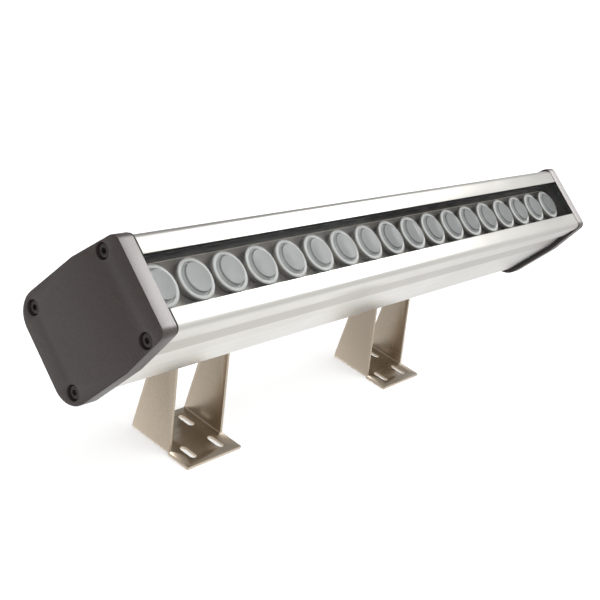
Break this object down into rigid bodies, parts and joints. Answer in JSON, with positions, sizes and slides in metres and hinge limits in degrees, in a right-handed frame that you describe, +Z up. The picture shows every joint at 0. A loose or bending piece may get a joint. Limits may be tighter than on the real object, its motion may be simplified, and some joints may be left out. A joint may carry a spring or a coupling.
{
  "type": "led batten light",
  "caption": "Linear LED batten light: lensed LEDs behind glass in an aluminium housing with cast end caps, on folded steel feet that tilt and slide.",
  "frame": {"origin": "on the mounting surface, under the middle of the whole object's box, its cable gland included", "axes": "+X along the batten towards the cable gland, +Z up, the light is thrown up and towards -Y"},
  "size_m": [0.523, 0.0892, 0.1697],
  "materials": {
    "anodised": "satin anodised extrusion",
    "cap_paint": "fine textured dark grey metallic paint on cast aluminium",
    "gasket": "black sponge rubber",
    "black_screw": "black oxide",
    "glass": "clear tempered glass",
    "plate": "satin grey",
    "ring": "frosted white moulding",
    "lens": "clear moulded acrylic",
    "board": "white solder mask on aluminium core",
    "emitter": "phosphor under clear silicone",
    "zinc": "zinc plated",
    "driver_case": "plain folded sheet",
    "circuit": "green solder mask",
    "winding": "varnished ferrite and tape",
    "capacitor": "shrink sleeve",
    "terminal": "cream nylon",
    "lead": "PVC insulation",
    "led_lead": "PVC insulation",
    "gland": "black nylon",
    "gland_rubber": "black rubber",
    "stainless": "warm satin stainless sheet",
    "hardware": "plain stainless"
  },
  "bodies": {
    "left_foot": {"foot_left": "stainless", "pivot_bolt_left": "hardware", "pivot_washers_left": "hardware", "pivot_nut_left": "hardware"},
    "left_saddle": {"saddle_left": "stainless", "slot_nut_left": "hardware", "slot_screws_left": "hardware", "spacer_sleeve_left": "hardware"},
    "housing": {"housing_profile": "anodised", "end_cap_left": "cap_paint", "end_cap_right": "cap_paint", "cap_gasket_left": "gasket", "cap_gasket_right": "gasket", "cap_screws_left": "black_screw", "cap_screws_right": "black_screw", "front_glass": "glass", "glass_seal": "gasket", "optic_plate": "plate", "lens_holders": "ring", "led_board": "board", "led_emitters": "emitter", "board_screws": "zinc", "driver_case": "driver_case", "driver_circuit_board": "circuit", "driver_transformer": "winding", "driver_capacitors": "capacitor", "terminal_block": "terminal", "supply_leads": "lead", "led_leads": "led_lead", "gland_body": "gland", "gland_lock_nut": "gland", "gland_seal": "gland_rubber", "gland_dome_nut": "gland", "lens_01": "lens", "lens_02": "lens", "lens_03": "lens", "lens_04": "lens", "lens_05": "lens", "lens_06": "lens", "lens_07": "lens", "lens_08": "lens", "lens_09": "lens", "lens_10": "lens", "lens_11": "lens", "lens_12": "lens", "lens_13": "lens", "lens_14": "lens", "lens_15": "lens", "lens_16": "lens", "lens_17": "lens", "lens_18": "lens"},
    "right_saddle": {"saddle_right": "stainless", "slot_nut_right": "hardware", "slot_screws_right": "hardware", "spacer_sleeve_right": "hardware"},
    "right_foot": {"foot_right": "stainless", "pivot_bolt_right": "hardware", "pivot_washers_right": "hardware", "pivot_nut_right": "hardware"}
  },
  "joints": [
    {"name": "housing_tilt", "type": "hinge", "parent": "left_foot", "child": "left_saddle", "pos_m": [-0.1221, 0.03531, 0.0708], "axis": [1, 0, 0], "range_deg": [-120, 55]},
    {"name": "left_foot_slide", "type": "slide", "parent": "left_saddle", "child": "housing", "axis": [1, 0, 0], "range_m": [-0.07, 0.09]},
    {"name": "right_foot_slide", "type": "slide", "parent": "housing", "child": "right_saddle", "axis": [1, 0, 0], "range_m": [-0.07, 0.09]},
    {"name": "right_foot_tilt", "type": "hinge", "parent": "right_saddle", "child": "right_foot", "pos_m": [0.1031, 0.03531, 0.0708], "axis": [1, 0, 0], "range_deg": [-55, 120]}
  ],
  "couplings": [
    {"joint": "right_foot_tilt", "follows": "housing_tilt", "ratio": -1}
  ]
}
